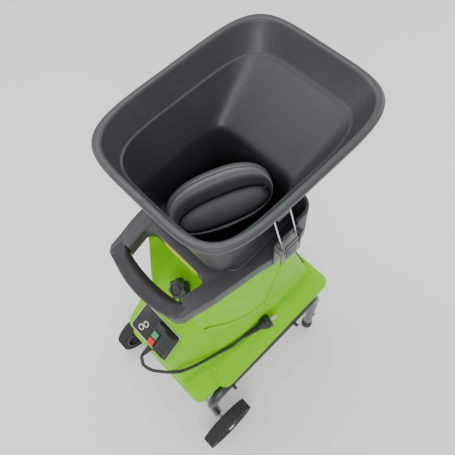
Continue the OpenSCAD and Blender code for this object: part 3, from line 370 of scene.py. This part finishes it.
# mains lead: route in metres, leaving the console and lying on the ledge
leadSet = {"diameter": 0.0075, "steps": 8, "route": [
    (0.003, -0.233, 0.486), (0.003, -0.237, 0.484), (0.0045, -0.241, 0.478), (0.007, -0.244, 0.469),
    (0.0095, -0.2465, 0.463), (0.0135, -0.248, 0.458), (0.022, -0.2465, 0.453), (0.0335, -0.2415, 0.448),
    (0.045, -0.2325, 0.446), (0.0602, -0.2194, 0.445), (0.0736, -0.2041, 0.443), (0.0795, -0.190, 0.434),
    (0.082, -0.1735, 0.415), (0.0835, -0.151, 0.390), (0.0845, -0.127, 0.364), (0.088, -0.0995, 0.347),
    (0.095, -0.074, 0.342), (0.098, -0.060, 0.3445), (0.1004, -0.047, 0.350), (0.102, -0.039, 0.3534),
    (0.1032, -0.0333, 0.354)],
    "plugAt": (113, 11.7, 354), "plugWay": (0.216, 1, 0)}


def smoothRoute(points, steps):
    pts = [Vector(p) for p in points]
    out = []
    for i in range(len(pts) - 1):
        a, b, c, d = pts[max(i - 1, 0)], pts[i], pts[i + 1], pts[min(i + 2, len(pts) - 1)]
        for k in range(steps):
            t = k / steps
            out.append(0.5 * (2 * b + (c - a) * t + (2 * a - 5 * b + 4 * c - d) * t ** 2
                              + (3 * b - a - 3 * c + d) * t ** 3))
    return out + [pts[-1]]


def alongAxis(origin, way):  # local z along way
    z = Vector(way).normalized()
    x = Vector((0, 0, 1)).cross(z).normalized() if abs(z.z) < 0.9 else Vector((1, 0, 0))
    y = z.cross(x)
    return Matrix(((x.x, y.x, z.x, origin[0]), (x.y, y.y, z.y, origin[1]),
                   (x.z, y.z, z.z, origin[2]), (0, 0, 0, 1)))


def makeLead(s):
    path = smoothRoute(s["route"], s["steps"])
    line = bpy.data.curves.new("mainsLead", "CURVE")
    line.dimensions = "3D"
    line.bevel_depth = s["diameter"] / 2
    line.bevel_resolution = 4
    line.use_fill_caps = True
    spline = line.splines.new("POLY")
    spline.points.add(len(path) - 1)
    for p, q in zip(spline.points, path):
        p.co = (*q, 1)
        p.radius = 1
    lead = bpy.data.objects.new("mainsLead", line)
    bpy.context.scene.collection.objects.link(lead)
    line.materials.append(finishes["cordBlack"])
    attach(lead, "machine")
    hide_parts("power_cord")
    at = alongAxis(s["plugAt"], s["plugWay"])
    grooves = []
    for k in range(9):  # flexible rings of the plug's sleeve
        h, r = -43 + 4.4 * k, 4.6 + 0.36 * k
        grooves += [(r, h), (r + 0.5, h + 0.5), (r + 0.6, h + 2.4), (r, h + 3.0), (r - 0.5, h + 3.6)]
    body = [(4.3, -46)] + grooves + [(8.2, -1.5), (9.4, 0), (10.5, 3), (13.2, 6), (14.2, 8.5), (14.4, 12.5),
                                     (16.4, 13.2), (17, 14.5), (17, 26.5), (16.2, 27.7), (15, 28)]
    plug = turnSkin("plugBody", body, at, 48)
    settle(plug, "plugBody", "machine", "cordBlack", ["plug_body"])
    pins = softCopy("plug_pins", 0.8)
    settle(pins, "plugPins", "machine", "wireSteel", ["plug_pins"])
    # tapered sleeve on the console
    low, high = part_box("cord_gland")
    sleeve = [(4.3, 0.2)]
    for k in range(4):
        h = 1.0 + 4.3 * k
        sleeve += [(4.5 + 0.6 * k, h), (5.1 + 0.6 * k, h + 0.5),
                   (5.2 + 0.6 * k, h + 2.6), (4.7 + 0.6 * k, h + 3.2)]
    sleeve += [(6.8, 17.6), (9.2, 17.9), (10, 18.4), (10, 20.6), (9.4, 21), (7.9, 21.2), (7.9, 30)]
    gland = turnSkin("leadSleeve", sleeve, alongAxis((3, low.y / mm, 486), (0, 1, 0)), 40)
    settle(gland, "leadSleeve", "machine", "cordBlack", ["cord_gland"])


makeLead(leadSet)


# hopper: throat, leaning funnel, upright band and rolled rim
hopperSet = {"wall": 4, "neck": (86, 74, 42), "flange": (770, 775, 82.2, 38.1),
             "shoulder": (794, 87, 89, 27, 8), "funnel": (862, 90, 96, 20, 7),
             "crease": (939, 117, 156, 72), "rim": (985, 148, 188, 79),
             "lip": 9, "square": 4.8, "count": 160}


def makeHopper(s):
    w, n = s["wall"], s["count"]
    na, nb, nc = s["neck"]
    rz, ra, rb, rc = s["rim"]
    cz, ca, cb, cc = s["crease"]
    fz, fa, fb, fc, fn = s["funnel"]
    sz, sa, sb, sc, sn = s["shoulder"]
    f0, f1, lb, lc = s["flange"]
    lip, q = s["lip"], s["square"]

    def rim(o, drop):  # ring of the rim, o inwards from its edge and drop below its top
        return oval(ra - o, rb - o, rc, rz - drop, q, n)

    def crease(o, shift, rise):
        return oval(ca + o, cb + o, cc + shift, cz + rise, q, n)

    def between(t, o, z=None):  # funnel wall, t from throat to crease
        k = t * t * (3 - 2 * t)
        return oval(fa + (ca - fa) * t + o, fb + (cb - fb) * t + o, fc + (cc - fc) * t,
                    fz + (cz - fz) * t, fn + (q - fn) * k, n)

    outside = [
        oval(na + w, nb + w, nc, f0 - 22, 9, n), oval(na + w, nb + w, nc, f0 + 0.1, 9, n),
        oval(na + w + 9.5, lb - 0.3, lc, f0 + 0.1, 9, n), oval(na + w + 10, lb, lc, f0 + 0.8, 9, n),
        oval(na + w + 10, lb, lc, f1 - 1, 9, n), oval(na + w + 9, lb - 0.6, lc, f1, 9, n),
        oval(na + w + 2.5, nb + w + 0.2, nc, f1 + 0.2, 9, n),
        oval(na + w + 1.5, nb + w + 0.1, nc, f1 + 1.5, 9, n),
        oval(sa + w, sb + w, sc, sz, sn, n), oval(sa + w + 0.7, sb + w + 2, sc - 1.5, sz + 16, sn, n)]
    outside += [between(t, w) for t in (0, 0.12, 0.3, 0.5, 0.7, 0.88, 1.0)]
    outside += [rim(o, drop) for o, drop in [
        (lip + 0.4, 12.4), (lip - 1, 11), (2.6, 11), (0.8, 10.4), (0, 8.8), (0, 4), (0.7, 2),
        (2.2, 0.6), (4.2, 0)]]
    inside = [rim(o, drop) for o, drop in [
        (lip - 0.5, 0), (lip + 1.2, 0.6), (lip + 2.6, 2.2), (lip + 3.4, 5)]]
    inside += [crease(o, shift, rise) for o, shift, rise in [
        (4.2, 0.6, 5.0), (2.6, 0.2, 1.6), (0.4, 0, 0.7), (-0.6, 0, -0.6)]]
    inside += [between(t, -0.2 * (1 - t)) for t in (0.96, 0.88, 0.78, 0.66, 0.54, 0.42, 0.3, 0.19, 0.1, 0.04)]
    inside += [
        oval(fa - 0.2, fb - 0.2, fc, fz - 2.5, fn, n), oval(fa - 0.6, fb - 0.4, fc, fz - 9, fn, n),
        oval(sa + 0.7, sb + 2, sc - 1.5, sz + 16, sn, n), oval(sa, sb, sc, sz, sn, n),
        oval(na, nb, nc, f0 - 2, 9, n), oval(na, nb, nc, f0 - 22, 9, n)]
    shell = ringSkin("hopperShell", outside + inside, joined=True)
    settle(shell, "hopperShell", "machine", "hopperGrey", ["hopper"], angle=40)
    # hooks under the funnel that the latch wires pull on
    for side, label in ((1, "Right"), (-1, "Left")):
        bpy.ops.mesh.primitive_cube_add(
            size=1, location=(side * 0.1065, 0.054, 0.878), scale=(0.019, 0.026, 0.004))
        lug = bpy.context.object
        bpy.ops.object.mode_set(mode="EDIT")
        bm = bmesh.from_edit_mesh(lug.data)
        for f in bm.faces:
            f.select = f.normal.x * side > 0.9
        bmesh.update_edit_mesh(lug.data)
        bpy.ops.mesh.select_mode(type="FACE")
        bpy.ops.mesh.extrude_region_move(TRANSFORM_OT_translate={"value": (0, 0, 0)})
        bpy.ops.transform.translate(value=(side * 0.001, 0, -0.004))
        bpy.ops.object.mode_set(mode="OBJECT")
        only(lug)
        bpy.ops.object.transform_apply(location=True, rotation=True, scale=True)
        edges = lug.modifiers.new("edges", "BEVEL")
        edges.width = 0.0008
        edges.segments = 2
        applyModifiers(lug)
        settle(lug, "latchLug" + label, "machine", "hopperGrey")
    print("hopper made")


makeHopper(hopperSet)


# pusher: oval handle ring, stippled grip and its wedge-shaped stem
pusherSet = {"at": (6, 22, 834), "turn": -21, "nod": 7, "lean": 25, "long": 92, "wide": 50,
             "gap": (18.5, 1.5), "gapHalf": (24.5, 82),
             "paintedShadeSpots": [(-6.5, -60), (-10, 66), (11, 77), (19, -76)]}


def pusherMatrix(s):
    return (Matrix.Translation(s["at"]) @ Matrix.Rotation(math.radians(s["turn"]), 4, "Z")
            @ Matrix.Rotation(math.radians(s["lean"]), 4, "Y")
            @ Matrix.Rotation(math.radians(s["nod"]), 4, "X"))


def makePusher(s):
    at, a, b = pusherMatrix(s), s["long"], s["wide"]
    gx, gy = s["gap"]
    gb, ga = s["gapHalf"]

    def ring(half, wide, z, x=0.0, y=0.0, n=2.4, count=128):
        return [at @ (p / mm + Vector((x, 0, 0))) * mm for p in oval(wide, half, y, z, n, count)]

    def slope(k, z):  # k runs from the outer edge to the finger opening, which lies off the middle
        return ring(a + (ga - a) * k, b + (gb - b) * k, z, gx * k, gy * k)

    # outer strip, a fine groove, the broad shoulder, then the wall down to the fingers' gap
    rings = [ring(a - 4, b - 4, -34), ring(a - 2, b - 2, -30), ring(a - 0.6, b - 0.6, -25), slope(0, -20)]
    rings += [slope(k, z) for k, z in [
        (0.0, -12), (0.012, -9.4), (0.04, -6.8), (0.09, -4.6), (0.15, -3.1), (0.19, -2.4), (0.196, -2.9),
        (0.21, -3.0), (0.217, -2.2), (0.28, -1.0), (0.36, -0.2), (0.46, 0.0), (0.55, -0.6), (0.64, -2.0),
        (0.72, -4.2),
        (0.79, -6.9), (0.86, -9.9), (0.92, -12.6), (0.96, -14.6), (0.985, -16.8), (1.0, -20), (1.0, -34)]]
    handle = ringSkin("pusherRing", rings, joined=True)
    settle(handle, "pusherRing", "pusher", "pusherGrey", ["pusher_handle"], angle=60)

    dome = [(0, 4.5, -33.9), (0, 2.4, -31), (0, 1.2, -27), (1.2, 1.2, -24.2), (4, 2.4, -21.4), (8, 4.6, -19.0),
            (14, 8, -17.0), (22, 12, -15.4), (33, 16.5, -14.4), (47, 20.5, -13.9), (62, 23.6, -13.7)]
    rings = [ring(ga - 0.6 - p, gb - q, z, gx - 1.2, gy, 2.5, 112) for p, q, z in dome]
    grip = ringSkin("pusherGrip", rings, caps=(True, True))
    settle(grip, "pusherGrip", "pusher", "gripGrey", ["pusher_grip"], angle=60)
    # black ellipsoids at the ends of the finger opening: painted shade for the dark, shadowed ends of the gap
    for i, (x, y) in enumerate(s["paintedShadeSpots"]):
        bpy.ops.mesh.primitive_uv_sphere_add(segments=20, ring_count=10, radius=1)
        shadeBlob = bpy.context.object
        shadeBlob.matrix_world = (Matrix.Diagonal((mm, mm, mm, 1)) @ at @ Matrix.Translation((x, y, -11.5))
                              @ Matrix.Diagonal((2.2, 4.4, 3.4, 1)))
        settle(shadeBlob, "pusherPaintedShade" + str(i), "pusher", "panelBlack")
    stem = softCopy("pusher_stem")
    settle(stem, "pusherStem", "pusher", "hopperGrey", ["pusher_stem"], angle=45)
    print("pusher made")


makePusher(pusherSet)


# wheels: tyre with cross bars over a spoked disc
wheelSet = {"radius": 75, "width": 33, "inner": 62, "bars": 52, "barWide": 3.4, "x": 188.5, "y": -192}


def makeWheel(s, side, label):
    at = alongAxis((side * s["x"], s["y"], s["radius"]), (1, 0, 0))
    half, r, inner = s["width"] / 2, s["radius"] - 1.6, s["inner"]
    profile = [(inner, -half + 3.4), (inner + 1.2, -half + 2), (inner + 3, -half + 1.2), (r - 6, -half + 0.2),
               (r - 3, -half + 0.5), (r - 1.2, -half + 1.8), (r - 0.3, -half + 4.5), (r, -4), (r, 4),
               (r - 0.3, half - 4.5), (r - 1.2, half - 1.8), (r - 3, half - 0.5), (r - 6, half - 0.2),
               (inner + 3, half - 1.2), (inner + 1.2, half - 2), (inner, half - 3.4)]
    rings = placed([roundRing(q, h, 104) for q, h in profile], at)
    tyre = ringSkin("tyre" + label, rings, joined=True)
    bars = []
    for row in (-1, 1):
        for i in range(s["bars"]):
            angle = 2 * math.pi * (i + (0.5 if row > 0 else 0)) / s["bars"]
            bpy.ops.mesh.primitive_cube_add(size=1)
            bar = bpy.context.object
            middle = Vector((r - 0.3, 0, row * (half / 2 + 0.1)))
            bar.matrix_world = (Matrix.Diagonal((mm, mm, mm, 1)) @ at @ Matrix.Rotation(angle, 4, "Z")
                                @ Matrix.Translation(middle) @ Matrix.Rotation(row * 0.12, 4, "X")
                                @ Matrix.Diagonal((3.6, s["barWide"], half - 1.6, 1)))
            bars.append(bar)
            if i == 0 and row < 0:
                edges = bar.modifiers.new("edges", "BEVEL")
                edges.width = 0.12
                edges.segments = 1
                applyModifiers(bar)
                shape = bar.data
            else:
                bar.data = shape.copy()
    bpy.ops.object.select_all(action="DESELECT")
    for bar in bars:
        bar.select_set(True)
    tyre.select_set(True)
    bpy.context.view_layer.objects.active = tyre
    bpy.ops.object.join()
    settle(tyre, "tyre" + label, "wheel_" + label.lower(), "tyreRubber", ["tyre_" + label.lower()])
    disc = softCopy("wheel_" + label.lower(), 1.0)
    settle(disc, "wheelDisc" + label, "wheel_" + label.lower(), "wheelBlack", ["wheel_" + label.lower()])


makeWheel(wheelSet, 1, "Right")
makeWheel(wheelSet, -1, "Left")
print("wheels made")


# adjusting knob
knobSet = {"drum": (0, 40, 440), "tilt": 37, "lobes": 7, "radius": 22, "height": 24}


def makeKnob(s):
    low = knobFoot()
    tilt = math.radians(s["tilt"])
    way = Vector((0, -math.sin(tilt), math.cos(tilt)))
    at = alongAxis(Vector(s["drum"]) + way * low, way)
    r, h = s["radius"], s["height"]
    turn = math.pi / s["lobes"]
    lobed = {"lobes": s["lobes"], "depth": 3.6, "turn": turn}
    plain = {"lobes": s["lobes"], "depth": 0.0, "turn": turn}
    rings = [roundRing(12.5, 0, 112, **plain), roundRing(12.5, 3.6, 112, **plain)]
    rings += [roundRing(r - 2, 4, 112, **lobed), roundRing(r - 0.5, 5, 112, **lobed),
              roundRing(r, 7, 112, **lobed),
              roundRing(r - 0.2, h - 6.5, 112, **lobed), roundRing(r - 1.4, h - 3.8, 112, **lobed)]
    rings += [roundRing(r - 3.8, h - 2.2, 112, lobes=s["lobes"], depth=2.0, turn=turn),
              roundRing(14.6, h - 1.2, 112, **plain), roundRing(13.2, h - 0.2, 112, **plain),
              roundRing(12.2, h, 112, **plain), roundRing(11.8, h - 0.4, 112, **plain),
              roundRing(11.6, h - 2, 112, **plain), roundRing(9.8, h - 2, 112, **plain),
              roundRing(9.6, h - 0.5, 112, **plain), roundRing(9.0, h, 112, **plain),
              roundRing(4, h, 112, **plain)]
    knob = ringSkin("adjustingKnob", placed(rings, at), caps=(True, True))
    settle(knob, "adjustingKnob", "knob", "knobBlack", ["adjusting_knob"], angle=40)
    print("knob made")


def knobFoot():  # distance of the knob's foot from the drum's axis
    low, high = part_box("adjusting_knob")
    tilt = math.radians(knobSet["tilt"])
    way = Vector((0, -math.sin(tilt), math.cos(tilt)))
    d = Vector(knobSet["drum"]) * mm
    return min((v.co - d).dot(way) for v in nodes["adjusting_knob"].data.vertices) / mm


makeKnob(knobSet)


# cover: its flat front bar is cut away and a round one takes its place
barSet = {"cut": 75, "reach": 84, "front": (-176, 16, 84), "rear": (-141, 7, 64), "z": 755.0, "half": 15.2,
          "round": 2.2, "square": 7, "blend": (52, 74)}


def makeCover(s):
    cover = softCopy("top_cover", 3.0)
    bpy.ops.mesh.primitive_cube_add(size=1)
    cutter = bpy.context.object
    cutter.scale = (2 * s["cut"] * mm, 0.07, 0.06)
    cutter.location = (0, -0.133 - 0.035, 0.755)
    only(cover)
    cut = cover.modifiers.new("cut", "BOOLEAN")
    cut.operation = "DIFFERENCE"
    cut.object = cutter
    cut.solver = "EXACT"
    applyModifiers(cover)
    bpy.data.objects.remove(cutter)
    settle(cover, "coverSkin", "machine", "coverGrey", ["top_cover"], angle=40)
    rings = []
    for i in range(61):
        x = -s["reach"] + 2 * s["reach"] * i / 60
        front = s["front"][0] + s["front"][1] * (x / s["front"][2]) ** 2 + 0.6
        rear = s["rear"][0] + s["rear"][1] * (x / s["rear"][2]) ** 2
        cy, half = (front + rear) / 2, (rear - front) / 2
        near, far = s["blend"]
        k = min(1.0, max(0.0, (abs(x) - near) / (far - near)))
        bend = 2 / (s["round"] + (s["square"] - s["round"]) * k * k)
        ring = []
        for j in range(56):
            t = 2 * math.pi * j / 56
            ring.append(Vector((x, cy + half * power(math.cos(t), bend),
                                s["z"] + s["half"] * power(math.sin(t), bend))) * mm)
        rings.append(ring)
    bar = ringSkin("handleBar", rings, caps=(True, True))
    settle(bar, "handleBar", "machine", "gripBlack", angle=50)
    print("cover made")


makeCover(barSet)

# every other node
for node, (finish, width) in nodeLooks.items():
    copy = softCopy(node, width)
    parts = node.split("_")
    name = parts[0] + "".join(p.capitalize() for p in parts[1:]) + "Skin"
    settle(copy, name, bodyOf[node], finish, [node])
print("carried-over nodes dressed")

# floor and light
bpy.ops.object.select_all(action="DESELECT")
bpy.ops.mesh.primitive_plane_add(size=14, location=(0, 0, 0))
floor = bpy.context.object
floor.name = "floor"
pale, paleTree, paleShader = newMaterial("floorPale", 0.9)
paleShader.inputs["Base Color"].default_value = (0.86, 0.86, 0.86, 1)
floor.data.materials.append(pale)

world = bpy.data.worlds.new("studio")
bpy.context.scene.world = world
world.use_nodes = True
world.node_tree.nodes["Background"].inputs["Color"].default_value = (1, 1, 1, 1)
world.node_tree.nodes["Background"].inputs["Strength"].default_value = 0.9

lightSet = [
    ("keyLight", (1.5, -1.5, 2.3), 1.8, 38), ("topLight", (-0.7, 0.2, 2.9), 1.6, 30),
    ("leftLight", (-1.9, -1.4, 1.6), 1.4, 16), ("backLight", (0.4, 2.2, 1.8), 1.5, 18)]
for name, place, size, watts in lightSet:
    bpy.ops.object.light_add(type="AREA", location=place)
    lamp = bpy.context.object
    lamp.name = name
    lamp.data.size = size
    lamp.data.energy = watts
    aim = Vector((0, 0, 0.6)) - Vector(place)
    lamp.rotation_euler = aim.to_track_quat("-Z", "Y").to_euler()
